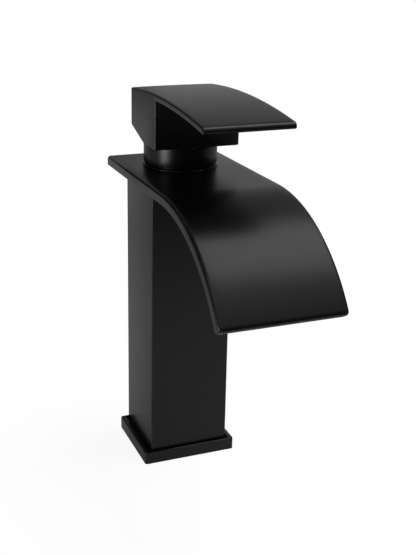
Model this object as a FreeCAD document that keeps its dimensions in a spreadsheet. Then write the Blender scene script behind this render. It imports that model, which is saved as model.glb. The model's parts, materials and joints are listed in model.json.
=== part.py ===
import FreeCAD, Part
import math
import os
import re

import Sketcher
from FreeCAD import Placement, Rotation, Vector

# Single-lever basin mixer with a waterfall spout.
# Millimetres, +Z up, origin on the deck at the valve's axis, spout pointing to -Y.

doc = FreeCAD.newDocument("basin_mixer")
sheet = doc.addObject("Spreadsheet::Sheet", "Sizes")

SIZES = {
    # clearances, and the overrun of every cut
    "fit_gap": 0.15,
    "running_gap": 0.2,
    "pin_gap": 0.05,
    "overrun": 2,
    # foot flange and its seal
    "flange_height": 6.2,
    "flange_side": 3.8,
    "flange_front": 2,
    "flange_edge_radius": 0.8,
    "lip_height": 2,
    "lip_wall": 2,
    "gasket_inset": 3,
    "gasket_width": 3,
    "gasket_thickness": 1.6,
    # rectangular column
    "column_width": 40,
    "column_depth": 37.5,
    "column_shift": 1.75,
    "column_height": 137.1,
    "column_wall": 3,
    "column_edge_radius": 0.6,
    # bar across the column's foot that takes the fixing stud
    "bar_height": 14,
    "bar_depth": 12.5,
    "stud_radius": 3.4,
    # waterfall spout: flat, then one arc down to the lip
    "spout_thickness": 4.6,
    "spout_width": 56,
    "spout_back": 27.8,
    "bend_start": 49.5,
    "bend_radius": 76.5,
    "bend_angle": 58.7,
    "spout_skin": 1.5,
    "spout_floor": 1.3,
    "spout_wall": 2,
    "spout_edge_radius": 1,
    # valve body in the column's head
    "seat_depth": 17.2,
    "inlet_depth": 12,
    "inlet_roof": 9,
    "inlet_radius": 4.5,
    "inlet_spacing": 14,
    "inlet_setback": 4,
    "port_radius": 1.8,
    "port_spacing": 11,
    "port_setback": 2,
    "outlet_setback": 7,
    "gallery_drop": 3,
    "gallery_height": 4,
    "gallery_width": 5,
    "riser_width": 24,
    "riser_depth": 1.3,
    "riser_wall": 1,
    "neck_wall": 1.2,
    "neck_height": 12.5,
    # ceramic cartridge
    "cartridge_radius": 12.5,
    "base_thickness": 4,
    "disc_thickness": 3,
    "moving_disc_radius": 8,
    "mixing_depth": 1.5,
    "housing_wall": 1.3,
    "driver_height": 4.6,
    "driver_floor": 0.8,
    "shoulder_height": 24,
    "throat_radius": 9.8,
    "throat_wall": 2,
    "throat_height": 4.5,
    "seal_wall": 1,
    "seal_height": 0.8,
    "slot_width": 8.2,
    "slot_length": 15.5,
    "pivot_height": 21,
    "pin_radius": 1.5,
    "pin_length": 21.6,
    "nut_slot_width": 3,
    "nut_slot_depth": 2,
    # stem of the lever
    "ball_radius": 2.4,
    "waist_radius": 1.9,
    "waist_length": 2.8,
    "stem_radius": 3.9,
    "stem_round_length": 22.5,
    "stem_square": 5.5,
    "stem_square_length": 15,
    # ring, seal and collar over the neck
    "seat_ring_height": 0.7,
    "seat_ring_radius": 17.9,
    "ring_section": 0.6,
    "collar_height": 10.1,
    "collar_radius": 17.4,
    "collar_lip": 1.2,
    "collar_opening": 11,
    "collar_edge_radius": 0.5,
    # lever handle: hub over the collar, arched blade in front
    "hub_gap": 1,
    "hub_height": 25.1,
    "hub_front": 21.4,
    "hub_back": 12,
    "hub_heel": 6.3,
    "heel_angle": 18,
    "back_radius": 75,
    "hub_wall": 3,
    "cavity_height": 7.5,
    "boss_radius": 5.5,
    "boss_lift": 3.3,
    "lever_width": 41,
    "lever_reach": 77,
    "lever_radius": 345,
    "lever_crest": 21.5,
    "blade_thickness": 2.8,
    "lever_edge_radius": 0.5,
    # grub screw and the plug over it
    "screw_radius": 2.5,
    "screw_length": 6,
    "screw_height": 12.5,
    "key_radius": 1.25,
    "key_depth": 2.5,
    "plug_radius": 3.5,
    "plug_depth": 2.2,
}

for row, (alias, value) in enumerate(SIZES.items(), 1):
    sheet.set(f"A{row}", alias)
    sheet.set(f"B{row}", str(value))
    sheet.setAlias(f"B{row}", alias)
doc.recompute()

# Heights, radii and widths that several pieces share, in the sheet's names.
COLUMN_TOP = "(flange_height + column_height)"
PLATE_TOP = f"({COLUMN_TOP} + spout_thickness)"
SEAT = f"({COLUMN_TOP} - seat_depth)"
INLET_FACE = f"({SEAT} - inlet_depth - inlet_roof)"
CHAMBER_RADIUS = "(cartridge_radius + running_gap)"
NECK_RADIUS = f"({CHAMBER_RADIUS} + neck_wall)"
NECK_HOLE = f"({NECK_RADIUS} + fit_gap)"
NECK_TOP = f"({COLUMN_TOP} + neck_height)"
COLLAR_FOOT = f"({PLATE_TOP} + seat_ring_height)"
COLLAR_TOP = f"({COLLAR_FOOT} + collar_height)"
HUB_FOOT = f"({COLLAR_TOP} + hub_gap)"
CAVITY_WIDTH = "(column_width - 2 * column_wall)"
CAVITY_DEPTH = "(column_depth - 2 * column_wall)"
RISER_FRONT = "(column_depth / 2 - column_shift - riser_wall)"
RISER_BACK = f"({RISER_FRONT} - riser_depth)"
RISER_FOOT = f"({SEAT} - gallery_drop - gallery_height)"
DISC_SEAT = f"({SEAT} + base_thickness)"
SLIDE_FACE = f"({DISC_SEAT} + disc_thickness)"
DRIVER_FOOT = f"({SLIDE_FACE} + disc_thickness)"
DRIVER_TOP = f"({DRIVER_FOOT} + driver_height)"
PIVOT = f"({SEAT} + pivot_height)"
SHOULDER = f"({SEAT} + shoulder_height)"
HOUSING_BORE = "(cartridge_radius - housing_wall)"
THROAT_TOP = f"({SHOULDER} + throat_height)"
THROAT_BORE = "(throat_radius - throat_wall)"
BALL = f"({DRIVER_FOOT} + driver_floor + running_gap + ball_radius)"
SQUARE_FOOT = f"({BALL} + stem_round_length)"
SCREW_AXIS = f"({HUB_FOOT} + screw_height)"
BACK_MIDDLE = "(hub_back + back_radius - sqrt(back_radius ^ 2 - (lever_width / 2) ^ 2))"

ALONG_X = Rotation(Vector(0, 1, 0), 90)
ALONG_Y = Rotation(Vector(1, 0, 0), -90)


# The same formula with each of the sheet's names written in full.
def full(text):
    return re.sub(r"[a-z_]+", lambda found: f"Sizes.{found[0]}" if found[0] in SIZES else found[0], text)


def number(text):
    return float(sheet.evalExpression(full(text)))


def bind(item, **properties):
    for name, text in properties.items():
        item.setExpression(name.replace("__", "."), full(text))
    return item


def place(item, x="0", y="0", z="0"):
    return bind(item, Placement__Base__x=x, Placement__Base__y=y, Placement__Base__z=z)


# A box centred on x and y that stands on z.
def box(name, width, depth, height, x="0", y="0", z="0"):
    item = bind(doc.addObject("Part::Box", name), Length=width, Width=depth, Height=height)
    return place(item, f"({x}) - ({width}) / 2", f"({y}) - ({depth}) / 2", z)


# A cylinder that stands on z, or starts there and lies along the axis that turn gives.
def rod(name, radius, height, x="0", y="0", z="0", turn=Rotation()):
    item = bind(doc.addObject("Part::Cylinder", name), Radius=radius, Height=height)
    item.Placement = Placement(Vector(), turn)
    return place(item, x, y, z)


def cut(name, base, *tools):
    for count, tool in enumerate(tools, 1):
        item = doc.addObject("Part::Cut", name if count == len(tools) else f"{name}_cut_{count}")
        item.Base = base
        item.Tool = tool
        base = item
    return base


def fuse(name, *shapes):
    item = doc.addObject("Part::MultiFuse", name)
    item.Shapes = list(shapes)
    item.Refine = True
    return item


# A closed sketch in a body. A corner is (across, up), and (across, up, radius, turn) starts an arc to the
# next corner, where turn is 1 for an arc that runs anticlockwise and -1 for a clockwise one.
def outline(body, plane, corners):
    sketch = body.newObject("Sketcher::SketchObject", f"{body.Name}_outline")
    origin_plane = [feature for feature in body.Origin.OriginFeatures if feature.Role == plane]
    sketch.AttachmentSupport = [(origin_plane[0], "")]
    sketch.MapMode = "FlatFace"
    points = [Vector(number(corner[0]), number(corner[1]), 0) for corner in corners]
    ends = []
    for i, corner in enumerate(corners):
        start, stop = points[i], points[(i + 1) % len(points)]
        if len(corner) == 2:
            ends.append((sketch.addGeometry(Part.LineSegment(start, stop)), 1, 2))
            continue
        radius, turn = number(corner[2]), corner[3]
        chord = stop - start
        rise = math.sqrt(radius ** 2 - (chord.Length / 2) ** 2)
        centre = start + chord / 2 + Vector(-chord.y, chord.x, 0).normalize() * rise * turn
        first, last = (start, stop) if turn > 0 else (stop, start)
        angles = [math.atan2(point.y - centre.y, point.x - centre.x) for point in (first, last)]
        edge = sketch.addGeometry(Part.ArcOfCircle(Part.Circle(centre, Vector(0, 0, 1), radius), *angles))
        ends.append((edge, 1, 2) if turn > 0 else (edge, 2, 1))
        at = sketch.addConstraint(Sketcher.Constraint("Radius", edge, radius))
        sketch.setExpression(f"Constraints[{at}]", full(corner[2]))
    for i, (edge, first, last) in enumerate(ends):
        after, after_first, _ = ends[(i + 1) % len(ends)]
        sketch.addConstraint(Sketcher.Constraint("Coincident", edge, last, after, after_first))
        across, up = corners[i][:2]
        ways = (("DistanceX", -2, across, points[i].x), ("DistanceY", -1, up, points[i].y))
        for kind, axis, text, value in ways:
            if text == "0":
                sketch.addConstraint(Sketcher.Constraint("PointOnObject", edge, first, axis))
                continue
            at = sketch.addConstraint(Sketcher.Constraint(kind, -1, 1, edge, first, value))
            sketch.setExpression(f"Constraints[{at}]", full(text))
    return sketch


# A side outline in (y, z), made as wide as width about the middle plane.
def slab(name, corners, width):
    body = doc.addObject("PartDesign::Body", name)
    sketch = outline(body, "YZ_Plane", corners)
    pad = body.newObject("PartDesign::Pad", f"{name}_pad")
    pad.Profile = sketch
    pad.SideType = "Symmetric"
    bind(pad, Length=width)
    return body


# A solid of revolution about the valve's axis, from (radius, height) corners.
def turned(name, corners):
    body = doc.addObject("PartDesign::Body", name)
    sketch = outline(body, "XZ_Plane", corners)
    spin = body.newObject("PartDesign::Revolution", f"{name}_spin")
    spin.Profile = sketch
    spin.ReferenceAxis = (sketch, ["V_Axis"])
    spin.Angle = 360
    return body


def ring(name, inner, outer, foot, height):
    top = f"{foot} + {height}"
    return turned(name, [(inner, foot), (outer, foot), (outer, top), (inner, top)])


# Rounds those edges of a body whose middle point passes the test.
def round_edges(body, radius, test):
    doc.recompute()
    base = body.Tip
    names = []
    for index, edge in enumerate(base.Shape.Edges, 1):
        if test(edge.valueAt((edge.FirstParameter + edge.LastParameter) / 2)):
            names.append(f"Edge{index}")
    fillet = body.newObject("PartDesign::Fillet", f"{body.Name}_fillet")
    fillet.Base = (base, names)
    bind(fillet, Radius=radius)
    return body


match_share = 1e-5


def near(a, b):
    return abs(a - b) < match_share * number("overrun")


# A rectangular block centred on the column, as a body, standing on foot.
def block(name, width, depth, foot, height):
    front = f"column_shift - ({depth}) / 2"
    back = f"column_shift + ({depth}) / 2"
    top = f"{foot} + {height}"
    return slab(name, [(front, foot), (back, foot), (back, top), (front, top)], width)


nodes = []


def node(label, item):
    item.Label = label
    nodes.append(item)


# Foot flange: a plate with a lip that centres the column, and a groove below for the seal.
FLANGE_WIDTH = "(column_width + 2 * flange_side)"
FLANGE_DEPTH = "(column_depth + 2 * flange_front)"
LIP_WIDTH = f"({CAVITY_WIDTH} - 2 * fit_gap)"
LIP_DEPTH = f"({CAVITY_DEPTH} - 2 * fit_gap)"


def gasket_ring(name, foot, height):
    width = f"({FLANGE_WIDTH} - 2 * gasket_inset)"
    depth = f"({FLANGE_DEPTH} - 2 * gasket_inset)"
    outer = box(f"{name}_outer", width, depth, height, y="column_shift", z=foot)
    inner = box(
        f"{name}_inner", f"{width} - 2 * gasket_width", f"{depth} - 2 * gasket_width",
        f"{height} + 2 * overrun", y="column_shift", z=f"{foot} - overrun",
    )
    return cut(name, outer, inner)


flange_plate = round_edges(
    block("flange_plate", FLANGE_WIDTH, FLANGE_DEPTH, "0", "flange_height"), "flange_edge_radius",
    lambda point: not near(point.z, 0),
)
flange_raised = fuse(
    "flange_raised", flange_plate,
    box("flange_lip", LIP_WIDTH, LIP_DEPTH, "flange_height + lip_height", y="column_shift"),
)
flange_way = box(
    "flange_way", f"{LIP_WIDTH} - 2 * lip_wall", f"{LIP_DEPTH} - 2 * lip_wall",
    "flange_height + lip_height + 2 * overrun", y="column_shift", z="-overrun",
)
gasket_groove = gasket_ring("gasket_groove", "-overrun", "gasket_thickness + overrun")
node("base_flange", cut("flange", flange_raised, flange_way, gasket_groove))
node("base_gasket", gasket_ring("gasket", "0", "gasket_thickness"))

# Column casing: a rectangular tube on the flange, with the water's rising slot inside its front wall.
casing_block = round_edges(
    block("casing_block", "column_width", "column_depth", "flange_height", "column_height"),
    "column_edge_radius",
    lambda point: near(abs(point.x), number("column_width / 2"))
    and near(abs(point.y - number("column_shift")), number("column_depth / 2")),
)
casing_hollow = box(
    "casing_hollow", CAVITY_WIDTH, CAVITY_DEPTH, "column_height + 2 * overrun",
    y="column_shift", z="flange_height - overrun",
)
RISER_RISE = f"({COLUMN_TOP} - {RISER_FOOT} + overrun)"
casing_riser = box(
    "casing_riser", "riser_width", RISER_FRONT, RISER_RISE, y=f"-{RISER_FRONT} / 2", z=RISER_FOOT
)
node("column_casing", cut("casing", casing_block, casing_hollow, casing_riser))

# Bar across the column's foot, with the threaded hole for the fixing stud.
BAR_FOOT = "(flange_height + lip_height + fit_gap)"
BAR_Y = f"(column_shift + {CAVITY_DEPTH} / 2 - bar_depth / 2)"
bar_block = box("bar_block", CAVITY_WIDTH, "bar_depth", "bar_height", y=BAR_Y, z=BAR_FOOT)
bar_hole = rod("bar_hole", "stud_radius", "bar_height + 2 * overrun", y=BAR_Y, z=f"{BAR_FOOT} - overrun")
node("stud_bar", cut("bar", bar_block, bar_hole))

# Valve body: a block in the column's head with inlets, cartridge chamber, outlet gallery and neck.
INLETS = (("hot", "-"), ("cold", ""))
body_solid = fuse(
    "body_solid",
    box("body_core", CAVITY_WIDTH, CAVITY_DEPTH, f"{COLUMN_TOP} - {INLET_FACE}",
        y="column_shift", z=INLET_FACE),
    rod("body_neck", NECK_RADIUS, "neck_height + seat_depth", z=SEAT),
)
body_cuts = [rod("chamber", CHAMBER_RADIUS, "seat_depth + neck_height + overrun", z=SEAT)]
for side, sign in INLETS:
    body_cuts.append(rod(
        f"inlet_{side}", "inlet_radius", "inlet_depth + overrun",
        f"{sign}inlet_spacing / 2", "-inlet_setback", f"{INLET_FACE} - overrun",
    ))
    body_cuts.append(rod(
        f"port_{side}", "port_radius", "inlet_roof + 2 * overrun",
        f"{sign}port_spacing / 2", "-port_setback", f"{SEAT} - inlet_roof - overrun",
    ))
body_cuts.append(rod(
    "port_mixed", "port_radius", f"{SEAT} - {RISER_FOOT} + overrun", y="-outlet_setback", z=RISER_FOOT
))
body_cuts.append(box(
    "gallery", "gallery_width", f"{RISER_FRONT} - outlet_setback", "gallery_height",
    y=f"-({RISER_FRONT} + outlet_setback) / 2", z=RISER_FOOT,
))
body_cuts.append(box(
    "body_riser", "riser_width", "riser_depth", RISER_RISE,
    y=f"-({RISER_FRONT} + {RISER_BACK}) / 2", z=RISER_FOOT,
))
node("valve_body", cut("body", body_solid, *body_cuts))


# A layer of the bent spout between two depths below its top face, open-ended at the lip.
def spout_layer(name, upper, lower, back, width):
    def bend(depth):
        return (
            f"-bend_start - (bend_radius - {depth}) * sin(bend_angle)",
            f"{PLATE_TOP} - bend_radius + (bend_radius - {depth}) * cos(bend_angle)",
        )

    return slab(name, [
        (back, f"{PLATE_TOP} - {upper}"),
        ("-bend_start", f"{PLATE_TOP} - {upper}", f"bend_radius - {upper}", 1),
        bend(upper),
        (*bend(lower), f"bend_radius - {lower}", -1),
        ("-bend_start", f"{PLATE_TOP} - {lower}"),
        (back, f"{PLATE_TOP} - {lower}"),
    ], width)


# True on the rim of the spout's top face.
def on_spout_rim(point):
    if near(point.y, number("spout_back")):
        return near(point.z, number(PLATE_TOP))
    if point.y > -number("bend_start"):
        return near(point.z, number(PLATE_TOP)) and not near(point.x, 0)
    drop = math.hypot(point.y + number("bend_start"), point.z - number(f"{PLATE_TOP} - bend_radius"))
    on_top = near(drop, number("bend_radius"))
    return on_top and not (near(point.y, -number("bend_start")) and near(point.x, 0))


# Spout shell: skin, sides and back in one piece, open below for the floor plate and at the lip.
CHANNEL_WIDTH = "(spout_width - 2 * spout_wall)"
shell_solid = round_edges(
    spout_layer("shell_solid", "0", "spout_thickness", "spout_back", "spout_width"),
    "spout_edge_radius", on_spout_rim,
)
shell_channel = spout_layer(
    "shell_channel", "spout_skin", "(spout_thickness + overrun)", f"-{RISER_BACK}", CHANNEL_WIDTH
)
neck_way = rod("neck_way", NECK_HOLE, "spout_thickness + 2 * overrun", z=f"{COLUMN_TOP} - overrun")
node("spout_shell", cut("shell", shell_solid, shell_channel, neck_way))
node("spout_floor", spout_layer(
    "floor_plate", "(spout_thickness - spout_floor)", "spout_thickness", f"-{RISER_FRONT}",
    f"{CHANNEL_WIDTH} - 2 * pin_gap",
))

# Ring on the spout, seal and collar round the neck.
RING_ROOM = f"({NECK_HOLE} + 2 * ring_section)"
node("collar_seat_ring", ring("seat_ring", NECK_HOLE, "seat_ring_radius", PLATE_TOP, "seat_ring_height"))
seal = doc.addObject("Part::Torus", "collar_seal")
bind(seal, Radius1=f"{NECK_HOLE} + ring_section - pin_gap", Radius2="ring_section")
node("collar_o_ring", place(seal, z=f"{COLLAR_FOOT} + ring_section"))
node("collar", round_edges(turned("collar_ring", [
    (RING_ROOM, COLLAR_FOOT),
    ("collar_radius", COLLAR_FOOT),
    ("collar_radius", COLLAR_TOP),
    ("collar_opening", COLLAR_TOP),
    ("collar_opening", f"{COLLAR_TOP} - collar_lip"),
    (NECK_HOLE, f"{COLLAR_TOP} - collar_lip"),
    (NECK_HOLE, f"{COLLAR_FOOT} + 2 * ring_section + pin_gap"),
    (RING_ROOM, f"{COLLAR_FOOT} + 2 * ring_section + pin_gap"),
]), "collar_edge_radius", lambda point: near(math.hypot(point.x, point.y), number("collar_radius"))
    and (near(point.z, number(COLLAR_TOP)) or near(point.z, number(COLLAR_FOOT)))))

# Cartridge, from its seat up: base with ports and seals, fixed ceramic disc, housing, nut.
PORTS = (
    ("hot", "-port_spacing / 2", "-port_setback"),
    ("cold", "port_spacing / 2", "-port_setback"),
    ("mixed", "0", "-outlet_setback"),
)


def port_rods(name, radius, foot, height):
    return [rod(f"{name}_{side}", radius, height, x, y, foot) for side, x, y in PORTS]


base_disc = rod("base_disc", "cartridge_radius", "base_thickness", z=SEAT)
base_ways = port_rods("base_way", "port_radius", f"{SEAT} - overrun", "base_thickness + 2 * overrun")
base_grooves = port_rods(
    "base_groove", "port_radius + seal_wall", f"{SEAT} - overrun", "seal_height + overrun"
)
node("cartridge_base", cut("cartridge_foot", base_disc, *base_ways, *base_grooves))
seal_solids = fuse("seal_solids", *port_rods("seal_solid", "port_radius + seal_wall", SEAT, "seal_height"))
seal_ways = port_rods("seal_way", "port_radius", f"{SEAT} - overrun", "seal_height + 2 * overrun")
node("port_seals", cut("seals", seal_solids, *seal_ways))
fixed_blank = rod("fixed_blank", f"{HOUSING_BORE} - pin_gap", "disc_thickness", z=DISC_SEAT)
fixed_ways = port_rods("fixed_way", "port_radius", f"{DISC_SEAT} - overrun", "disc_thickness + 2 * overrun")
node("fixed_disc", cut("fixed_plate", fixed_blank, *fixed_ways))
node("cartridge_housing", turned("housing", [
    (HOUSING_BORE, DISC_SEAT),
    ("cartridge_radius", DISC_SEAT),
    ("cartridge_radius", SHOULDER),
    ("throat_radius", SHOULDER),
    ("throat_radius", THROAT_TOP),
    (THROAT_BORE, THROAT_TOP),
    (THROAT_BORE, f"{SHOULDER} - housing_wall"),
    (HOUSING_BORE, f"{SHOULDER} - housing_wall"),
]))
nut_ring = ring(
    "nut_ring", "throat_radius + fit_gap", f"{CHAMBER_RADIUS} - pin_gap",
    SHOULDER, f"({NECK_TOP} - {SHOULDER})",
)
nut_slots = [
    box(f"nut_slot_{name}", width, depth, "nut_slot_depth + overrun", z=f"{NECK_TOP} - nut_slot_depth")
    for name, width, depth in (
        ("across", f"2 * {NECK_RADIUS}", "nut_slot_width"),
        ("along", "nut_slot_width", f"2 * {NECK_RADIUS}"),
    )
]
node("cartridge_nut", cut("nut", nut_ring, *nut_slots))


# A rod along X at the lever's pivot.
def pivot_rod(name, radius, length):
    return rod(name, radius, length, x=f"-({length}) / 2", z=PIVOT, turn=ALONG_X)


# What turns with the handle: the carrier and its pivot pin.
CARRIER_FOOT = f"({DRIVER_TOP} + running_gap)"
CARRIER_TOP = f"({SHOULDER} - housing_wall - pin_gap)"
carrier_solid = turned("carrier_solid", [
    ("0", CARRIER_FOOT),
    (f"{HOUSING_BORE} - running_gap", CARRIER_FOOT),
    (f"{HOUSING_BORE} - running_gap", CARRIER_TOP),
    (f"{THROAT_BORE} - running_gap", CARRIER_TOP),
    (f"{THROAT_BORE} - running_gap", THROAT_TOP),
    ("0", THROAT_TOP),
])
carrier_slot = box("carrier_slot", "slot_width", "slot_length", f"{THROAT_TOP} - {SEAT} + overrun", z=SEAT)
carrier_bore = pivot_rod("carrier_bore", "pin_radius", f"2 * {HOUSING_BORE}")
node("swivel_carrier", cut("carrier", carrier_solid, carrier_slot, carrier_bore))
node("pivot_pin", pivot_rod("pin", "pin_radius", "pin_length"))

# What slides as the lever lifts: the upper ceramic disc and its driver.
moving_blank = rod("moving_blank", "moving_disc_radius", "disc_thickness", z=SLIDE_FACE)
mixing_pocket = box(
    "mixing_pocket", "port_spacing", "2 * port_radius", "mixing_depth + overrun",
    y="-outlet_setback / 2", z=f"{SLIDE_FACE} - overrun",
)
node("moving_disc", cut("moving_plate", moving_blank, mixing_pocket))
BALL_ROOM = "(2 * ball_radius + 2 * running_gap)"
driver_blank = rod("driver_blank", "moving_disc_radius", "driver_height", z=DRIVER_FOOT)
driver_pocket = box(
    "driver_pocket", BALL_ROOM, BALL_ROOM, "driver_height", z=f"{DRIVER_FOOT} + driver_floor"
)
node("disc_driver", cut("driver", driver_blank, driver_pocket))

# Stem: ball foot, waist, round shank with the pivot hole, square end for the handle.
WAIST_TOP = f"({BALL} + waist_length)"
stem_round = turned("stem_round", [
    ("0", BALL),
    ("waist_radius", BALL),
    ("waist_radius", WAIST_TOP),
    ("stem_radius", WAIST_TOP),
    ("stem_radius", SQUARE_FOOT),
    ("0", SQUARE_FOOT),
])
stem_ball = place(bind(doc.addObject("Part::Sphere", "stem_ball"), Radius="ball_radius"), z=BALL)
stem_end = box("stem_end", "stem_square", "stem_square", "stem_square_length", z=SQUARE_FOOT)
stem_bore = pivot_rod("stem_bore", "pin_radius + pin_gap", "2 * stem_radius + 2 * overrun")
node("lever_stem", cut("stem", fuse("stem_solid", stem_round, stem_ball, stem_end), stem_bore))

# Lever handle: side outline of hub and blade, trimmed to an arc at the back, its edges rounded, hollow below,
# with the stem's socket.
ARCH_CENTRE = f"({HUB_FOOT} + hub_height - lever_radius)"


# Height of the arch at y, at a depth below its top face.
def arch(y, depth):
    return f"{ARCH_CENTRE} + sqrt((lever_radius - {depth}) ^ 2 - ({y} + lever_crest) ^ 2)"


BACK_END = f"({BACK_MIDDLE} + overrun)"
handle_body = slab("handle_body", [
    (BACK_END, f"{HUB_FOOT} + ({BACK_END} + hub_heel) * tan(heel_angle)"),
    (BACK_END, arch(BACK_END, "0"), "lever_radius", 1),
    ("-lever_reach", arch("-lever_reach", "0")),
    ("-lever_reach", arch("-lever_reach", "blade_thickness"), "lever_radius - blade_thickness", -1),
    ("-hub_front", arch("-hub_front", "blade_thickness")),
    ("-hub_front", HUB_FOOT),
    ("-hub_heel", HUB_FOOT),
], "lever_width")
handle_trim = outline(handle_body, "XY_Plane", [
    ("-lever_width / 2", "hub_back", "back_radius", -1),
    ("lever_width / 2", "hub_back"),
    ("lever_width / 2 + overrun", "hub_back"),
    ("lever_width / 2 + overrun", f"{BACK_END} + overrun"),
    ("-lever_width / 2 - overrun", f"{BACK_END} + overrun"),
    ("-lever_width / 2 - overrun", "hub_back"),
])
handle_pocket = handle_body.newObject("PartDesign::Pocket", "handle_pocket")
handle_pocket.Profile = handle_trim
handle_pocket.Reversed = True
bind(handle_pocket, Length=f"{HUB_FOOT} + hub_height + overrun")
round_edges(handle_body, "lever_edge_radius", lambda point: True)
handle_cavity = cut(
    "handle_cavity",
    box("cavity_room", "lever_width - 2 * hub_wall", "hub_front + hub_back - 2 * hub_wall",
        "cavity_height + overrun", y="(hub_back - hub_front) / 2", z=f"{HUB_FOOT} - overrun"),
    rod("socket_boss", "boss_radius", "cavity_height", z=f"{HUB_FOOT} + boss_lift"),
)
SOCKET_WIDTH = "(stem_square + 2 * pin_gap)"
handle_cuts = [
    handle_cavity,
    box("stem_socket", SOCKET_WIDTH, SOCKET_WIDTH,
        f"{SQUARE_FOOT} + stem_square_length + fit_gap - {HUB_FOOT}", z=HUB_FOOT),
    rod("shank_way", "stem_radius + fit_gap", f"{SQUARE_FOOT} + fit_gap - {HUB_FOOT}", z=HUB_FOOT),
    rod("screw_way", "screw_radius", f"{BACK_MIDDLE} + overrun", z=SCREW_AXIS, turn=ALONG_Y),
    rod("plug_way", "plug_radius", "plug_depth + overrun",
        y=f"{BACK_MIDDLE} - plug_depth", z=SCREW_AXIS, turn=ALONG_Y),
]
node("lever_handle", cut("handle", handle_body, *handle_cuts))

# Grub screw on the stem's flat, and the plug that hides it.
SCREW_FOOT = "(stem_square / 2)"
screw_blank = rod("screw_blank", "screw_radius", "screw_length", y=SCREW_FOOT, z=SCREW_AXIS, turn=ALONG_Y)
screw_key = doc.addObject("Part::Prism", "screw_key")
screw_key.Polygon = 6
screw_key.Placement = Placement(Vector(), ALONG_Y)
bind(screw_key, Circumradius="key_radius", Height="key_depth + overrun")
place(screw_key, y=f"{SCREW_FOOT} + screw_length - key_depth", z=SCREW_AXIS)
node("grub_screw", cut("screw", screw_blank, screw_key))
node("index_plug", rod(
    "plug", "plug_radius", "plug_depth", y=f"{BACK_MIDDLE} - plug_depth", z=SCREW_AXIS, turn=ALONG_Y
))

doc.recompute()
for item in doc.Objects:
    if "Invalid" in item.State or "Error" in item.State:
        raise RuntimeError(f"{item.Name} failed: {item.State}")
for item in nodes:
    if item.Shape.isNull() or not item.Shape.isValid():
        raise RuntimeError(f"{item.Label} has no valid shape")
os.makedirs("parts", exist_ok=True)
for item in nodes:
    item.Shape.exportStep(f"parts/{item.Label}.step")
    print(f"{item.Label}: {len(item.Shape.Solids)} solid, {item.Shape.Volume:.0f} mm3")
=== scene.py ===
import json
import math

import bmesh
import bpy
from mathutils import Matrix, Vector


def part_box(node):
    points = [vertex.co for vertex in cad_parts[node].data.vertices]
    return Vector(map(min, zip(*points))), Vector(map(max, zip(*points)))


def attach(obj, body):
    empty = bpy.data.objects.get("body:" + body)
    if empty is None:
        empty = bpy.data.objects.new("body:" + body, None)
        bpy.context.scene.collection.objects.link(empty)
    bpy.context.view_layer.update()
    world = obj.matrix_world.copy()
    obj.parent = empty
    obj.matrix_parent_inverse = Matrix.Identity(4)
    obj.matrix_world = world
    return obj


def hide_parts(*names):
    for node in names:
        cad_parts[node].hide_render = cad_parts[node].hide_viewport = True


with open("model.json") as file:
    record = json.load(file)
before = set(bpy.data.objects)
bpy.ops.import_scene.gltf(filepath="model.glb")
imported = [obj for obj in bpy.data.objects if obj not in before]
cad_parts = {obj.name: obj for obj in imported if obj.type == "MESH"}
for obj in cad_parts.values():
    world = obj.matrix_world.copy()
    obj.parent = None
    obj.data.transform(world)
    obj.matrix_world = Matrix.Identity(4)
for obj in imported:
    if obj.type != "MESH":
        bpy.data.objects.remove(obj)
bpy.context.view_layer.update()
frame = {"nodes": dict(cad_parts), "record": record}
scene = bpy.context.scene
scene.view_settings.view_transform = "Standard"
mm = 0.001
print("frame loaded:", len(frame["nodes"]), "nodes")


# node building: Wire does the maths on a socket, Nodes adds every other node to any tree

class Wire:
    def __init__(self, tree, socket):
        self.tree = tree
        self.socket = socket

    def math(self, operation, first, second=0.0):
        return Nodes(self.tree).add("ShaderNodeMath", {"operation": operation}, {0: first, 1: second})

    def __add__(self, other):
        return self.math("ADD", self, other)

    def __sub__(self, other):
        return self.math("SUBTRACT", self, other)

    def __rsub__(self, other):
        return self.math("SUBTRACT", other, self)

    def __mul__(self, other):
        return self.math("MULTIPLY", self, other)

    def __truediv__(self, other):
        return self.math("DIVIDE", self, other)

    def __gt__(self, other):
        return self.math("GREATER_THAN", self, other)

    __radd__ = __add__
    __rmul__ = __mul__


class Nodes:
    def __init__(self, tree):
        self.tree = tree

    def add(self, kind, settings=None, inputs=None, out=0):
        node = self.tree.nodes.new(kind)
        for name, value in (settings or {}).items():
            setattr(node, name, value)
        for name, value in (inputs or {}).items():
            if isinstance(value, Wire):
                self.tree.links.new(value.socket, node.inputs[name])
            else:
                node.inputs[name].default_value = value
        return Wire(self.tree, node.outputs[out]) if node.outputs else node

    def noise(self, scale, detail):
        place = self.add("ShaderNodeTexCoord", out="Object")
        return self.add("ShaderNodeTexNoise", inputs={
            "Vector": place, "Scale": scale, "Detail": detail,
        })

    def blend(self, factor, first, second):
        ends = [end if isinstance(end, Wire) else (*end, 1) for end in (first, second)]
        return self.add("ShaderNodeMix", {"data_type": "RGBA"}, {0: factor, 6: ends[0], 7: ends[1]}, 2)

    # a value taken from low..high to 0..1, eased at both ends
    def ease(self, value, low, high):
        return self.add("ShaderNodeMapRange", {"interpolation_type": "SMOOTHSTEP"}, {
            "Value": value, "From Min": low, "From Max": high,
        })


def nodesOf(holder):
    holder.use_nodes = True
    holder.node_tree.nodes.clear()
    return Nodes(holder.node_tree)


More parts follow.
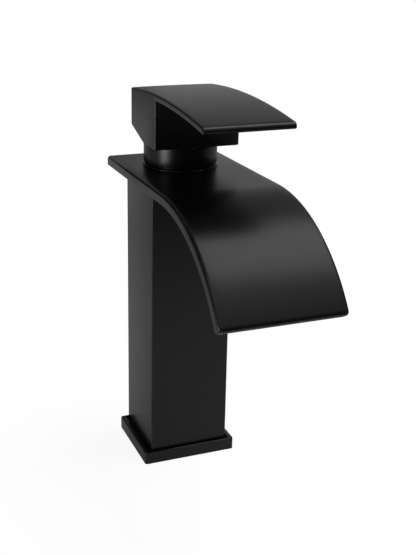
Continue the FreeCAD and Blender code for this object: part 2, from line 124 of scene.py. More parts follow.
# one dictionary per finish: dark and light are mixed by the broad mottling; wornAndHighlit is a lighter
# colour on the rounded edges, partly wear and partly a painted highlight;
# mottle, grain and rubsAndGlints are noise cells per metre
finishes = {
    "matte_black": {
        "dark": (0.0045, 0.0045, 0.0047), "light": (0.0053, 0.0053, 0.0055), "mottle": 38, "grain": 5200,
        "relief": 0.03, "depth": 0.03 * mm, "roughness": 0.32, "spread": 0.016,
        "metallic": 0, "specular": 0.50, "wornAndHighlit": (0.016, 0.016, 0.017), "rubsAndGlints": 240, "polish": 0.18,
    },
    "black_plastic": {
        "dark": (0.018, 0.018, 0.018), "light": (0.024, 0.024, 0.024), "mottle": 60, "grain": 2600,
        "relief": 0.12, "depth": 0.03 * mm, "roughness": 0.50, "spread": 0.10,
        "metallic": 0, "specular": 0.45, "wornAndHighlit": (0.05, 0.05, 0.05), "rubsAndGlints": 300, "polish": 0.12,
    },
    "black_rubber": {
        "dark": (0.016, 0.016, 0.016), "light": (0.026, 0.026, 0.026), "mottle": 90, "grain": 1500,
        "relief": 0.20, "depth": 0.04 * mm, "roughness": 0.78, "spread": 0.12,
        "metallic": 0, "specular": 0.30, "wornAndHighlit": (0.04, 0.04, 0.04), "rubsAndGlints": 300, "polish": 0.05,
    },
    "bare_brass": {
        "dark": (0.52, 0.36, 0.15), "light": (0.66, 0.49, 0.23), "mottle": 120, "grain": 1900,
        "relief": 0.15, "depth": 0.03 * mm, "roughness": 0.34, "spread": 0.16,
        "metallic": 1, "specular": 0.5, "wornAndHighlit": (0.74, 0.58, 0.30), "rubsAndGlints": 400, "polish": 0.12,
    },
    "bare_steel": {
        "dark": (0.42, 0.42, 0.44), "light": (0.56, 0.56, 0.58), "mottle": 150, "grain": 2400,
        "relief": 0.15, "depth": 0.02 * mm, "roughness": 0.30, "spread": 0.14,
        "metallic": 1, "specular": 0.5, "wornAndHighlit": (0.68, 0.68, 0.70), "rubsAndGlints": 400, "polish": 0.12,
    },
    "cartridge_plastic": {
        "dark": (0.60, 0.60, 0.58), "light": (0.68, 0.68, 0.66), "mottle": 80, "grain": 1700,
        "relief": 0.10, "depth": 0.03 * mm, "roughness": 0.46, "spread": 0.08,
        "metallic": 0, "specular": 0.45, "wornAndHighlit": (0.74, 0.74, 0.72), "rubsAndGlints": 300, "polish": 0.08,
    },
    "carrier_plastic": {
        "dark": (0.030, 0.060, 0.150), "light": (0.045, 0.080, 0.190), "mottle": 80, "grain": 1700,
        "relief": 0.10, "depth": 0.03 * mm, "roughness": 0.44, "spread": 0.08,
        "metallic": 0, "specular": 0.45, "wornAndHighlit": (0.09, 0.13, 0.24), "rubsAndGlints": 300, "polish": 0.08,
    },
    "disc_ceramic": {
        "dark": (0.72, 0.70, 0.66), "light": (0.78, 0.76, 0.72), "mottle": 60, "grain": 3000,
        "relief": 0.05, "depth": 0.01 * mm, "roughness": 0.22, "spread": 0.06,
        "metallic": 0, "specular": 0.5, "wornAndHighlit": (0.82, 0.80, 0.77), "rubsAndGlints": 300, "polish": 0.05,
    },
}


broadDetail, fineDetail = 4, 3
wearAndHighlightRange = (0.25, 0.60)


# mottled colour, fine grain, and a lighter, smoother colour that breaks up along the faces marked as
# rims: partly wear, partly a painted highlight
def makeFinish(slot, look):
    material = bpy.data.materials.new(slot)
    nodes = nodesOf(material)
    broad = nodes.noise(look["mottle"], broadDetail)
    fine = nodes.noise(look["grain"], fineDetail)
    rim = nodes.add("ShaderNodeAttribute", {"attribute_name": "rim"}, out="Fac")
    # painted highlight: the rims get a lighter colour, partly wear and partly a painted highlight along
    # the edges
    wearAndHighlight = rim * nodes.ease(nodes.noise(look["rubsAndGlints"], fineDetail), *wearAndHighlightRange)
    colour = nodes.blend(broad, look["dark"], look["light"])
    bump = nodes.add("ShaderNodeBump", inputs={
        "Height": fine, "Strength": look["relief"], "Distance": look["depth"],
    })
    uneven = (broad - 0.5) * look["spread"] + (fine - 0.5) * look["spread"]
    shader = nodes.add("ShaderNodeBsdfPrincipled", inputs={
        "Base Color": nodes.blend(wearAndHighlight, colour, look["wornAndHighlit"]),
        "Roughness": look["roughness"] + uneven - wearAndHighlight * look["polish"],
        "Metallic": look["metallic"],
        "Specular IOR Level": look["specular"],
        "Normal": bump,
    })
    nodes.add("ShaderNodeOutputMaterial", inputs={"Surface": shader})
    return material


materials = {slot: makeFinish(slot, look) for slot, look in finishes.items()}
slotOf = {part["node"]: part["material_slot"] for part in frame["record"]["subparts"]}
bodyOf = {
    node: body for body, nodes in frame["record"]["behaviour"]["bodies"].items() for node in nodes
}
print("finishes:", ", ".join(materials))


# mesh helpers

weldLofts, weldCopies = 0.001 * mm, 0.0005 * mm
sharpAngle = math.radians(32)
rims = {"bends": (math.radians(6), math.radians(48)), "widest": 0.9 * mm}
tightestCorner = 0.4


def objectFrom(name, mesh):
    piece = bpy.data.objects.new(name, mesh)
    scene.collection.objects.link(piece)
    return piece


# skins a list of equal loops of points; closed joins the last loop to the first, otherwise both
# ends are capped
def loft(name, loops, closed):
    work = bmesh.new()
    rings = [[work.verts.new(point) for point in loop] for loop in loops]
    spans = list(zip(rings, rings[1:] + rings[:1])) if closed else list(zip(rings, rings[1:]))
    for first, second in spans:
        for i in range(len(first)):
            j = (i + 1) % len(first)
            work.faces.new((first[i], first[j], second[j], second[i]))
    if not closed:
        work.faces.new(list(reversed(rings[0])))
        work.faces.new(rings[-1])
    bmesh.ops.remove_doubles(work, verts=work.verts, dist=weldLofts)
    bmesh.ops.recalc_face_normals(work, faces=work.faces)
    bmesh.ops.triangulate(work, faces=[face for face in work.faces if len(face.verts) > 4])
    mesh = bpy.data.meshes.new(name)
    work.to_mesh(mesh)
    work.free()
    return objectFrom(name, mesh)


# rounds the corners of a closed outline; each corner is (u, v, radius)
def roundedOutline(corners, steps=5):
    points = []
    for i, (u, v, radius) in enumerate(corners):
        here = Vector((u, v))
        if radius == 0:
            points.append(here)
            continue
        before = (Vector(corners[i - 1][:2]) - here).normalized()
        after = (Vector(corners[(i + 1) % len(corners)][:2]) - here).normalized()
        half = before.angle(after) / 2
        reach = radius / math.tan(half)
        centre = here + (before + after).normalized() * (radius / math.sin(half))
        start = here + before * reach - centre
        sweep = math.pi - 2 * half
        turn = 1 if before.cross(after) < 0 else -1
        for step in range(steps + 1):
            points.append(centre + Matrix.Rotation(turn * sweep * step / steps, 2) @ start)
    return points


# draws a closed outline in by the same distance all round
def drawnIn(outline, inset):
    points = []
    for i, point in enumerate(outline):
        back = (point - outline[i - 1]).normalized()
        ahead = (outline[(i + 1) % len(outline)] - point).normalized()
        normal = Vector((-back.y - ahead.y, back.x + ahead.x)).normalized()
        stretch = max(tightestCorner, normal.dot(Vector((-back.y, back.x))))
        points.append(point + normal * inset / stretch)
    return points


def quarter(steps=4):
    return [math.pi / 2 * step / steps for step in range(steps + 1)]


# turns a closed (radius, height) outline about the valve's axis
def lathe(name, outline, segments=144):
    loops = []
    for step in range(segments):
        angle = 2 * math.pi * step / segments
        loops.append([(u * math.cos(angle), u * math.sin(angle), v) for u, v in outline])
    return loft(name, loops, closed=True)


# stacks rounded rectangles about middle; each level is (width, depth, corner radius, height)
def stack(name, levels, middle, closed=True):
    loops = []
    for width, depth, radius, height in levels:
        a, b = width / 2, depth / 2
        flat = roundedOutline([
            (-a, -b, radius), (a, -b, radius), (a, b, radius), (-a, b, radius),
        ])
        loops.append([(point.x, middle + point.y, height) for point in flat])
    return loft(name, loops, closed)


def applied(piece):
    evaluated = piece.evaluated_get(bpy.context.evaluated_depsgraph_get())
    mesh = bpy.data.meshes.new_from_object(evaluated)
    piece.modifiers.clear()
    piece.data = mesh
    mesh.name = piece.name
    return piece


def carve(piece, tool, operation="DIFFERENCE"):
    step = piece.modifiers.new("carve", "BOOLEAN")
    step.operation = operation
    step.solver = "EXACT"
    step.object = tool
    applied(piece)
    bpy.data.objects.remove(tool)


# marks the narrow faces that round an edge, for the wear and the painted highlight
def markRims(mesh):
    work = bmesh.new()
    work.from_mesh(mesh)
    rim = work.faces.layers.float.new("rim")
    low, high = rims["bends"]
    for face in work.faces:
        longest = max(edge.calc_length() for edge in face.edges)
        long = [edge for edge in face.edges if edge.calc_length() > longest / 2]
        bends = [edge for edge in long if low < edge.calc_face_angle(0) < high]
        width = face.calc_area() / longest
        face[rim] = 1.0 if len(bends) > 1 and width < rims["widest"] else 0.0
    work.to_mesh(mesh)
    work.free()


# gives a piece its finish and its place among the bodies
def dress(piece, *nodes):
    slot = slotOf[nodes[0]]
    piece.data.materials.clear()
    piece.data.materials.append(materials[slot])
    markRims(piece.data)
    piece.data.shade_smooth()
    piece.data.set_sharp_from_angle(angle=sharpAngle)
    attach(piece, bodyOf[nodes[0]])
    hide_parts(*nodes)


# spout: made flat, then bent by a node tree, as the real plate is

spout = {
    "bendStart": 49.5 * mm, "bendRadius": 76.5 * mm, "bendAngle": math.radians(58.7),
    "thickness": 4.6 * mm, "skin": 1.5 * mm, "floor": 1.3 * mm, "wall": 2.0 * mm,
    "edge": 1.5 * mm, "lipRun": 2.0 * mm, "lipDrop": 1.0 * mm, "footEdge": 0.25 * mm,
    "channelBack": 14.7 * mm, "floorBack": 16.0 * mm, "floorPlay": 0.05 * mm,
    "neckSeal": 1.15 * mm, "holeCore": 0.2 * mm, "bendSteps": 72, "acrossSteps": 16, "lipSteps": 8,
}
spoutHigh = Vector(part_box("spout_shell")[1])
spoutFlatEnd = -spout["bendStart"] - spout["bendRadius"] * spout["bendAngle"]


# an empty geometry tree with named inputs; gives the tree, its inputs as wires and their identifiers
def startTree(name, numbers):
    tree = bpy.data.node_groups.new(name, "GeometryNodeTree")
    kinds = {"Geometry": "NodeSocketGeometry", "Finish": "NodeSocketMaterial"}
    kinds.update({number: "NodeSocketFloat" for number in numbers})
    sockets = {
        label: tree.interface.new_socket(label, in_out="INPUT", socket_type=kind).identifier
        for label, kind in kinds.items()
    }
    tree.interface.new_socket("Geometry", in_out="OUTPUT", socket_type="NodeSocketGeometry")
    source = tree.nodes.new("NodeGroupInput")
    wires = {label: Wire(tree, source.outputs[label]) for label in kinds}
    return tree, wires, sockets


def endTree(nodes, shape, finish):
    whole = nodes.add("GeometryNodeRealizeInstances", inputs={"Geometry": shape})
    painted = nodes.add("GeometryNodeSetMaterial", inputs={"Geometry": whole, "Material": finish})
    nodes.add("NodeGroupOutput", inputs={"Geometry": painted})


def runTree(piece, plan, values):
    tree, sockets = plan
    step = piece.modifiers.new(tree.name, "NODES")
    step.node_group = tree
    for label, value in values.items():
        step[sockets[label]] = value
    return applied(piece)


# wraps what lies in front of the bend's start round a drum under the plate
def bendTree():
    tree, source, sockets = startTree("bendPlate", ("Bend Start", "Bend Radius", "Top Height"))
    nodes = Nodes(tree)
    start, radius, top = source["Bend Start"], source["Bend Radius"], source["Top Height"]
    spot = nodes.add("GeometryNodeInputPosition")
    x, y, z = (nodes.add("ShaderNodeSeparateXYZ", inputs={0: spot}, out=axis) for axis in "XYZ")
    run = 0.0 - y - start
    angle = run / radius
    arm = z - top + radius
    across = 0.0 - arm * angle.math("SINE", angle) - start
    height = arm * angle.math("COSINE", angle) - radius + top
    bent = nodes.add("ShaderNodeCombineXYZ", inputs={"X": x, "Y": across, "Z": height})
    moved = nodes.add("GeometryNodeSetPosition", inputs={
        "Geometry": source["Geometry"], "Selection": run > 0.0, "Position": bent,
    })
    endTree(nodes, moved, source["Finish"])
    return tree, sockets


def bendPiece(piece, plan):
    return runTree(piece, plan, {
        "Bend Start": spout["bendStart"], "Bend Radius": spout["bendRadius"],
        "Top Height": spoutHigh.z, "Finish": materials["matte_black"],
    })


# one cross-section of the flat shell: outer sides, rounded top edges, and the channel's roof below
def shellSection(y, inset, roof):
    half = spoutHigh.x - inset
    top = spoutHigh.z - inset
    foot = spoutHigh.z - spout["thickness"]
    inner = spoutHigh.x - spout["wall"]
    edge = spout["edge"]
    foots = spout["footEdge"]
    right = [
        (half - edge + edge * math.sin(turn), top - edge + edge * math.cos(turn)) for turn in quarter()
    ]
    right += [(half, foot + foots), (half - foots, foot)]
    ceiling = spoutHigh.z - roof
    under = [(inner, foot), (inner, ceiling), (-inner, ceiling), (-inner, foot)]
    left = [(-x, z) for x, z in reversed(right)]
    count = spout["acrossSteps"]
    crown = [((half - edge) * (2 * step / count - 1), top) for step in range(1, count)]
    return [(x, y, z) for x, z in right + under + left + crown]


def makeSpoutShell(plan):
    thick, skin, edge = spout["thickness"], spout["skin"], spout["edge"]
    run, drop = spout["lipRun"], spout["lipDrop"]
    back = spoutHigh.y
    loops = []
    for turn in reversed(quarter()):
        y = back - edge + edge * math.sin(turn)
        loops.append(shellSection(y, edge * (1 - math.cos(turn)), thick))
    for roof in (thick, skin):
        loops.append(shellSection(-spout["channelBack"], 0, roof))
    steps = spout["bendSteps"]
    bendRun = spout["bendRadius"] * spout["bendAngle"] - run
    for step in range(steps + 1):
        loops.append(shellSection(-spout["bendStart"] - bendRun * step / steps, 0, skin))
    for turn in quarter(spout["lipSteps"])[1:]:
        y = spoutFlatEnd + run - run * math.sin(turn)
        loops.append(shellSection(y, drop * (1 - math.cos(turn)), skin))
    shell = loft("spoutShell", loops, closed=False)
    neckTop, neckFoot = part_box("collar_seat_ring")[1][2], spoutHigh.z - 2 * thick
    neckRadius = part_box("collar_o_ring")[1][0] - spout["neckSeal"]
    core = spout["holeCore"]
    hole = lathe("neckHole", [
        (core, neckFoot), (neckRadius, neckFoot), (neckRadius, neckTop), (core, neckTop),
    ])
    carve(shell, hole)
    bendPiece(shell, plan)
    dress(shell, "spout_shell")


def makeSpoutFloor(plan):
    half = spoutHigh.x - spout["wall"] - spout["floorPlay"]
    foot = spoutHigh.z - spout["thickness"]
    top = foot + spout["floor"]
    steps = spout["bendSteps"]
    bendStart = spout["bendStart"]
    places = [-spout["floorBack"]]
    places += [
        -bendStart + (spoutFlatEnd + bendStart) * step / steps for step in range(steps + 1)
    ]
    loops = []
    for y in places:
        loops.append([(-half, y, foot), (half, y, foot), (half, y, top), (-half, y, top)])
    floor = loft("spoutFloor", loops, closed=False)
    bendPiece(floor, plan)
    dress(floor, "spout_floor")


bendPlan = bendTree()
makeSpoutShell(bendPlan)
makeSpoutFloor(bendPlan)
print("spout bent")


# column, foot and seal

column = {"wall": 3.0 * mm, "corner": 0.6 * mm, "rim": 0.2 * mm}
foot = {
    "corner": 1.2 * mm, "edge": 0.6 * mm, "lipGap": 0.15 * mm, "lipWall": 2.0 * mm,
    "sealInset": 3.0 * mm, "sealWidth": 3.0 * mm, "gapWidth": 1.4 * mm, "gapDepth": 1.4 * mm,
}


def makeColumn():
    low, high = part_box("column_casing")
    width, depth = high[0] - low[0], high[1] - low[1]
    bore = 2 * column["wall"]
    corner, rim = column["corner"], column["rim"]
    outer = [
        (width - 2 * rim, depth - 2 * rim, corner - rim, low[2]),
        (width, depth, corner, low[2] + rim),
        (width, depth, corner, high[2] - rim),
        (width - 2 * rim, depth - 2 * rim, corner - rim, high[2]),
    ]
    inner = [(width - bore, depth - bore, rim, height) for height in (high[2], low[2])]
    dress(stack("columnCasing", outer + inner, (low[1] + high[1]) / 2), "column_casing")


def makeFoot():
    low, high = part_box("base_flange")
    casingLow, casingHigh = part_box("column_casing")
    casingWidth, casingDepth = casingHigh[0] - casingLow[0], casingHigh[1] - casingLow[1]
    plateTop = casingLow[2]
    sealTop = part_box("base_gasket")[1][2]
    width, depth = high[0] - low[0], high[1] - low[1]
    corner, edge = foot["corner"], foot["edge"]
    shrink = 2 * (column["wall"] + foot["lipGap"])
    lipWidth, lipDepth = casingWidth - shrink, casingDepth - shrink
    middle = (low[1] + high[1]) / 2
    wayWidth, wayDepth = lipWidth - 2 * foot["lipWall"], lipDepth - 2 * foot["lipWall"]
    small = column["rim"]
    levels = [(width, depth, corner, low[2]), (width, depth, corner, plateTop - edge)]
    for turn in quarter()[1:]:
        inset = edge * (1 - math.cos(turn))
        height = plateTop - edge + edge * math.sin(turn)
        levels.append((width - 2 * inset, depth - 2 * inset, max(corner - inset, small), height))
    gap, gapFloor = 2 * foot["gapWidth"], plateTop - foot["gapDepth"]
    for grow, heights in ((gap, (plateTop, gapFloor)), (-2 * small, (gapFloor, plateTop))):
        levels += [
            (casingWidth + grow, casingDepth + grow, column["corner"], height) for height in heights
        ]
    levels += [(lipWidth, lipDepth, small, plateTop), (lipWidth, lipDepth, small, high[2])]
    levels += [(wayWidth, wayDepth, small, high[2]), (wayWidth, wayDepth, small, low[2])]
    grooveOut, grooveIn = 2 * foot["sealInset"], 2 * (foot["sealInset"] + foot["sealWidth"])
    for inset, heights in ((grooveIn, (low[2], sealTop)), (grooveOut, (sealTop, low[2]))):
        levels += [(width - inset, depth - inset, small, height) for height in heights]
    dress(stack("footFlange", levels, middle), "base_flange")
    seal = [
        (width - inset, depth - inset, small, height)
        for inset, heights in ((grooveOut, (low[2], sealTop)), (grooveIn, (sealTop, low[2])))
        for height in heights
    ]
    dress(stack("footSeal", seal, middle), "base_gasket")


makeColumn()
makeFoot()
print("column and foot built")


# collar, ring and seal on the spout

collar = {
    "edge": 0.5 * mm, "opening": 11.0 * mm, "lip": 1.2 * mm, "bore": 14.05 * mm, "sealRoom": 1.25 * mm,
    "grooveHeight": 1.0 * mm, "grooveDepth": 1.6 * mm, "ringEdge": 0.45 * mm,
}


# closed outlines as (radius, height, corner radius), turned about the valve's axis
def makeCollar():
    low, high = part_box("collar")
    edge, bore = collar["edge"], collar["bore"]
    room = bore + collar["sealRoom"]
    lipFoot, sealTop = high[2] - collar["lip"], low[2] + collar["sealRoom"]
    grooveTop, grooveWall = low[2] + collar["grooveHeight"], high[0] - collar["grooveDepth"]
    opening = collar["opening"]
    dress(lathe("valveCollar", roundedOutline([
        (room, low[2], 0), (grooveWall, low[2], 0),
        (grooveWall, grooveTop, 0), (high[0], grooveTop, edge / 2), (high[0], high[2], edge),
        (opening, high[2], edge / 2), (opening, lipFoot, edge / 2),
        (bore, lipFoot, 0), (bore, sealTop, 0), (room, sealTop, 0),
    ])), "collar")
    low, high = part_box("collar_seat_ring")
    dress(lathe("seatRing", roundedOutline([
        (bore, low[2], 0), (high[0], low[2], 0),
        (high[0], high[2], collar["ringEdge"]), (bore, high[2], 0),
    ])), "collar_seat_ring")


makeCollar()
print("collar turned")


# lever: arched blade and hub as one casting

lever = {
    "archRadius": 345.0 * mm, "crest": 21.5 * mm, "blade": 2.8 * mm, "hubFront": 21.4 * mm,
    "heel": 6.3 * mm, "heelAngle": math.radians(18), "backRadius": 75.0 * mm,
    "edge": 0.7 * mm, "corner": 0.85 * mm, "tipEdge": 2.0 * mm, "throat": 1.0 * mm,
    "hubWall": 3.0 * mm, "cavity": 7.5 * mm, "stemHole": 4.05 * mm, "bossRadius": 5.5 * mm,
    "bossLift": 3.3 * mm, "plugPlay": 0.12 * mm,
    "archSteps": 44, "acrossSteps": 22, "bossSteps": 64, "plugSteps": 48,
}
leverLow, leverHigh = (Vector(corner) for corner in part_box("lever_handle"))


def archHeight(y, depth=0.0):
    radius = lever["archRadius"]
    centre = leverHigh.z - radius
    return centre + math.sqrt((radius - depth) ** 2 - (y + lever["crest"]) ** 2)


# side outline of the handle for one back edge, as (y, z), clockwise from the heel
def leverOutline(back):
    edge = lever["corner"]
    footZ = leverLow.z
    tip = leverLow.y
    front = -lever["hubFront"]
    steps = lever["archSteps"]
    heelZ = footZ + (back + lever["heel"]) * math.tan(lever["heelAngle"])
    corners = [(back, heelZ, edge), (back, archHeight(back), edge)]
    topEnd = tip + 2 * lever["tipEdge"]
    for step in range(1, steps):
        y = back + (topEnd - back) * step / (steps - 1)
        corners.append((y, archHeight(y), 0))
    blade = lever["blade"]
    corners += [(tip, archHeight(tip), lever["tipEdge"]), (tip, archHeight(tip, blade), edge)]
    for step in range(1, steps):
        y = tip + (front - tip) * step / steps
        corners.append((y, archHeight(y, blade), 0))
    corners += [(front, archHeight(front, blade), lever["throat"]), (front, footZ, edge)]
    corners += [(-lever["heel"], footZ, 0)]
    return roundedOutline(corners)


def makeLever():
    half = leverHigh.x
    edge = lever["edge"]
    ends = [(half - edge + edge * math.sin(turn), edge * (1 - math.cos(turn))) for turn in quarter()]
    count = lever["acrossSteps"]
    stations = [(-x, inset) for x, inset in reversed(ends)]
    stations += [((half - edge) * (2 * step / count - 1), 0.0) for step in range(1, count)]
    stations += ends
    loops = []
    for x, inset in stations:
        bulge = lever["backRadius"] - math.sqrt(lever["backRadius"] ** 2 - x ** 2)
        outline = drawnIn(leverOutline(leverHigh.y - bulge), inset)
        loops.append([(x, point.x, point.y) for point in outline])
    handle = loft("leverHandle", loops, closed=False)
    wall, footZ = lever["hubWall"], leverLow.z
    roof = footZ + lever["cavity"]
    middleY = (leverHigh.y - lever["hubFront"]) / 2 - wall / 2
    depth = leverHigh.y + lever["hubFront"] - 3 * wall
    cavity = stack("hubCavity", [
        (2 * (half - wall), depth, 2 * edge, height) for height in (footZ - wall, roof)
    ], middleY, closed=False)
    carve(handle, cavity)
    hole, radius = lever["stemHole"], lever["bossRadius"]
    bossFoot, bossTop = footZ + lever["bossLift"], roof + wall
    boss = lathe("stemBoss", [
        (hole, bossFoot), (radius, bossFoot), (radius, bossTop), (hole, bossTop),
    ], segments=lever["bossSteps"])
    carve(handle, boss, "UNION")
    plugLow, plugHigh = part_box("index_plug")
    play, steps = lever["plugPlay"], lever["plugSteps"]
    plugZ, plugRadius = (plugLow[2] + plugHigh[2]) / 2, (plugHigh[2] - plugLow[2]) / 2 + play
    turns = [2 * math.pi * step / steps for step in range(steps)]
    carve(handle, loft("plugRecess", [
        [(plugRadius * math.cos(turn), y, plugZ + plugRadius * math.sin(turn)) for turn in turns]
        for y in (plugLow[1] - play, leverHigh.y + wall)
    ], closed=False))
    dress(handle, "lever_handle")


makeLever()
print("lever built")


# the pieces inside: smooth copies of the solids, with their own finishes

innerNodes = [
    "stud_bar", "valve_body", "collar_o_ring", "cartridge_base", "port_seals", "fixed_disc",
    "cartridge_housing", "cartridge_nut", "swivel_carrier", "pivot_pin", "moving_disc", "disc_driver",
    "lever_stem", "grub_screw", "index_plug",
]


# threads cut into the tapped holes: the node that has the hole, the pitch and the depth of the cut
threads = {
    "stud_hole": {"node": "stud_bar", "pitch": 1.25 * mm, "depth": 0.55 * mm},
    "hot_inlet": {"node": "valve_body", "pitch": 1.0 * mm, "depth": 0.45 * mm},
    "cold_inlet": {"node": "valve_body", "pitch": 1.0 * mm, "depth": 0.45 * mm},
}


threadSteps, threadCorners = 40, 3


# a helical cutter, with a three-cornered section set on the hole's wall
def threadTree():
    tree, source, sockets = startTree("threadTurns", ("Radius", "Length", "Pitch", "Depth"))
    nodes = Nodes(tree)
    path = nodes.add("GeometryNodeCurveSpiral", inputs={
        "Resolution": threadSteps, "Rotations": source["Length"] / source["Pitch"],
        "Height": source["Length"], "Start Radius": source["Radius"], "End Radius": source["Radius"],
    })
    section = nodes.add("GeometryNodeCurvePrimitiveCircle", inputs={
        "Resolution": threadCorners, "Radius": source["Depth"],
    })
    turns = nodes.add("GeometryNodeCurveToMesh", inputs={
        "Curve": path, "Profile Curve": section, "Fill Caps": True,
    })
    endTree(nodes, turns, source["Finish"])
    return tree, sockets


def cutThreads(piece, node, plan):
    for hole in frame["record"]["mounts"]:
        thread = threads.get(hole["name"], {})
        if thread.get("node") != node:
            continue
        cutter = objectFrom("cutter", bpy.data.meshes.new("cutter"))
        runTree(cutter, plan, {
            "Radius": hole["dims"]["r_mm"] * mm, "Length": hole["dims"]["length_mm"] * mm,
            "Pitch": thread["pitch"], "Depth": thread["depth"], "Finish": materials[slotOf[node]],
        })
        start = Vector(hole["pos_m"]) - Vector((0, 0, thread["pitch"]))
        cutter.data.transform(Matrix.Translation(start))
        carve(piece, cutter)


def smoothCopy(node, plan):
    work = bmesh.new()
    work.from_mesh(frame["nodes"][node].data)
    bmesh.ops.remove_doubles(work, verts=work.verts, dist=weldCopies)
    mesh = bpy.data.meshes.new(node + "Smooth")
    work.to_mesh(mesh)
    work.free()
    piece = objectFrom(node + "Smooth", mesh)
    cutThreads(piece, node, plan)
    dress(piece, node)


threadPlan = threadTree()
for node in innerNodes:
    smoothCopy(node, threadPlan)
print("inner pieces finished:", len(innerNodes))


# floor, light and camera

# the camera sees a white floor and world; reflections and bounced light get a dimmer one, which fades
# towards the camera (floorPaintedPool: a painted pool of light in the floor's colour, with painted shade
# beyond it) and to the left (rightward)
studio = {
    "floorSize": 30.0, "floorColour": (0.75, 0.75, 0.75), "floorPaintedShade": (0.125, 0.125, 0.125),
    "floorPaintedPool": (-0.52, -0.20), "floorSheen": 0.085,
    "floorLift": 0.50, "floorWhite": (0.16, 0.50), "white": 1.76,
    "ambient": 0.16, "ambientFront": 0.02, "ambientTop": 0.45, "sheen": 0.04,
    "behind": (-0.15, 0.45), "rightward": (-0.35, 0.15), "above": (0.30, 0.75), "over": (-0.40, 0.20),
}
plainWhite = (1, 1, 1)

# leftGlow lies on the floor and faces up
lamps = {
    "topBox": {"at": (0.42, -0.09, 1.04), "to": (0, -0.09, 0.135), "size": (0.66, 0.66), "power": 2.3},
    "leftGlow": {
        "at": (-0.325, 0.575, 0.003), "to": (-0.325, 0.555, 1.0), "size": (0.59, 1.17), "power": 0.24,
    },
    "leftStrip": {"at": (-0.5, -0.18, 0.09), "to": (0, 0, 0.09), "size": (0.20, 0.18), "power": 0.6},
    "backBox": {"at": (0.64, 1.0, 0.36), "to": (0, 0, 0.15), "size": (0.6, 0.6), "power": 0.29},
}


# how much of a ray is the camera's own or comes through glass, and how much is a reflection
def directRays(nodes):
    camera, glossy, glass = (
        nodes.add("ShaderNodeLightPath", out=f"Is {kind} Ray")
        for kind in ("Camera", "Glossy", "Transmission")
    )
    return camera.math("MINIMUM", camera + glass, 1.0), glossy


# near the foot the camera's white is partly the lit floor, so that it holds a soft shadow
def makeFloor():
    mesh = bpy.data.meshes.new("deck")
    reach = studio["floorSize"] / 2
    corners = [(-reach, -reach, 0), (reach, -reach, 0), (reach, reach, 0), (-reach, reach, 0)]
    mesh.from_pydata(corners, [], [(0, 1, 2, 3)])
    deck = objectFrom("deck", mesh)
    pale = bpy.data.materials.new("deckWhite")
    nodes = nodesOf(pale)
    spot = nodes.add("ShaderNodeTexCoord", out="Object")
    ahead = nodes.add("ShaderNodeSeparateXYZ", inputs={0: spot}, out="Y")
    # painted pool of light: the floor's colour for reflections and bounced light darkens towards the
    # camera, painted shade where the pool falls off
    paintedPool = nodes.ease(ahead, *studio["floorPaintedPool"])
    paintedPoolColour = nodes.blend(paintedPool, studio["floorPaintedShade"], studio["floorColour"])
    plain = nodes.add("ShaderNodeBsdfDiffuse", inputs={"Color": paintedPoolColour})
    distance = nodes.add("ShaderNodeVectorMath", {"operation": "LENGTH"}, {0: spot}, out="Value")
    far = nodes.ease(distance, *studio["floorWhite"])
    lift = studio["floorLift"] + far * (1 - studio["floorLift"])
    white = nodes.blend(far, plainWhite, (1 / studio["white"],) * 3)
    glow = nodes.add("ShaderNodeEmission", inputs={"Color": white, "Strength": studio["white"]})
    seen, glossy = directRays(nodes)
    mixed = nodes.add("ShaderNodeMixShader", inputs={
        0: seen * lift + glossy * studio["floorSheen"] * paintedPool, 1: plain, 2: glow,
    })
    nodes.add("ShaderNodeOutputMaterial", inputs={"Surface": mixed})
    mesh.materials.append(pale)


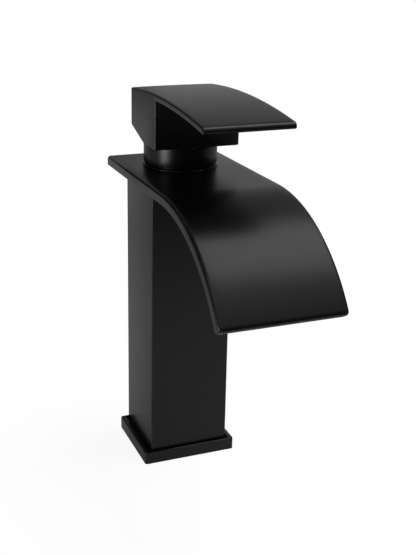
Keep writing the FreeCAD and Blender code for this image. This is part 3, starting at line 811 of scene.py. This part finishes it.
def makeWorld():
    world = bpy.data.worlds.new("studioWhite")
    scene.world = world
    nodes = nodesOf(world)
    seen, glossy = directRays(nodes)
    spot = nodes.add("ShaderNodeTexCoord", out="Generated")
    across, away, up = (
        nodes.add("ShaderNodeSeparateXYZ", inputs={0: spot}, out=axis) for axis in "XYZ"
    )
    behind = nodes.ease(away, *studio["behind"]) * nodes.ease(across, *studio["rightward"])
    overhead = nodes.ease(up, *studio["above"]) * (1 - nodes.ease(away, *studio["over"]))
    around = (
        studio["ambientFront"] + behind * (studio["ambient"] - studio["ambientFront"])
        + overhead * studio["ambientTop"]
    )
    strength = around * (1 - seen) + seen + glossy * behind * studio["sheen"]
    light = nodes.add("ShaderNodeBackground", inputs={"Color": (*plainWhite, 1), "Strength": strength})
    nodes.add("ShaderNodeOutputWorld", inputs={"Surface": light})


def makeLamps():
    for name, lamp in lamps.items():
        data = bpy.data.lights.new(name, "AREA")
        data.shape = "RECTANGLE"
        data.size, data.size_y = lamp["size"]
        data.energy = lamp["power"]
        piece = bpy.data.objects.new(name, data)
        scene.collection.objects.link(piece)
        piece.location = lamp["at"]
        aim = Vector(lamp["to"]) - Vector(lamp["at"])
        piece.rotation_euler = aim.to_track_quat("-Z", "Y").to_euler()
        piece.visible_camera = False


view = {
    "at": (-157.75 * mm, -408.8 * mm, 250.64 * mm),
    "yaw": math.radians(-20.992), "pitch": math.radians(18.719), "roll": math.radians(0.665),
    "focalPixels": 941.83, "centrePixels": (177.39, 254.44), "frame": (416, 555),
    "sensor": 36.0, "near": 0.01,
}


def makeCamera():
    yaw, pitch, roll = view["yaw"], view["pitch"], view["roll"]
    level = math.cos(pitch)
    ahead = Vector((-math.sin(yaw) * level, math.cos(yaw) * level, -math.sin(pitch)))
    flatRight = Vector((math.cos(yaw), math.sin(yaw), 0))
    flatUp = flatRight.cross(ahead)
    right = flatRight * math.cos(roll) + flatUp * math.sin(roll)
    up = flatUp * math.cos(roll) - flatRight * math.sin(roll)
    data = bpy.data.cameras.new("photoCamera")
    width, height = view["frame"]
    data.sensor_fit = "VERTICAL"
    data.sensor_height = view["sensor"]
    data.lens = view["focalPixels"] * view["sensor"] / height
    data.shift_x = (width / 2 - view["centrePixels"][0]) / height
    data.shift_y = (view["centrePixels"][1] - height / 2) / height
    data.clip_start = view["near"]
    camera = bpy.data.objects.new("photoCamera", data)
    scene.collection.objects.link(camera)
    turn = Matrix((right, up, -ahead)).transposed()
    camera.matrix_world = Matrix.Translation(view["at"]) @ turn.to_4x4()
    scene.camera = camera


makeFloor()
makeWorld()
makeLamps()
makeCamera()
print("studio and camera set")
